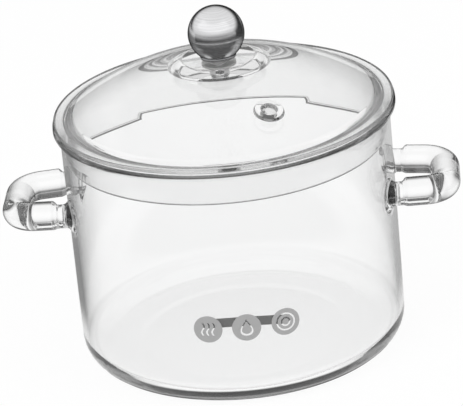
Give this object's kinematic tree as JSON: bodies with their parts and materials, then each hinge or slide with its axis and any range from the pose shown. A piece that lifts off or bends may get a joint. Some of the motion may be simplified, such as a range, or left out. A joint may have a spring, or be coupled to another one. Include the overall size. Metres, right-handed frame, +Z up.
{
  "type": "saucepan",
  "caption": "Clear glass saucepan with glass loop handles at its sides and a lift-off domed glass lid that carries a steam vent and a steel ball knob.",
  "frame": {"origin": "middle of the flat ring that the pan stands on", "axes": "+X towards the right handle, +Z up along the pan's axis; the front of the pan faces -Y"},
  "size_m": [0.2276, 0.17, 0.1776],
  "materials": {
    "clear_glass": "clear fire-polished borosilicate glass",
    "lid_glass": "clear pressed borosilicate glass",
    "brushed_knob": "stainless steel, brushed in rings round the knob",
    "polished_collar": "polished stainless steel",
    "turned_steel": "plain turned stainless steel",
    "silicone": "milky white heat-proof silicone, satin"
  },
  "bodies": {
    "pan": {"pan_body": "clear_glass", "left_handle": "clear_glass", "right_handle": "clear_glass"},
    "lid": {"lid_glass": "lid_glass", "knob_ball": "brushed_knob", "thread_insert": "turned_steel", "knob_collar": "polished_collar", "upper_seal": "silicone", "lower_seal": "silicone", "steel_washer": "turned_steel", "knob_screw": "turned_steel"}
  },
  "joints": [
    {"name": "lid_lift", "type": "slide", "parent": "pan", "child": "lid", "axis": [0, 0, 1], "range_m": [0, 0.12]}
  ]
}
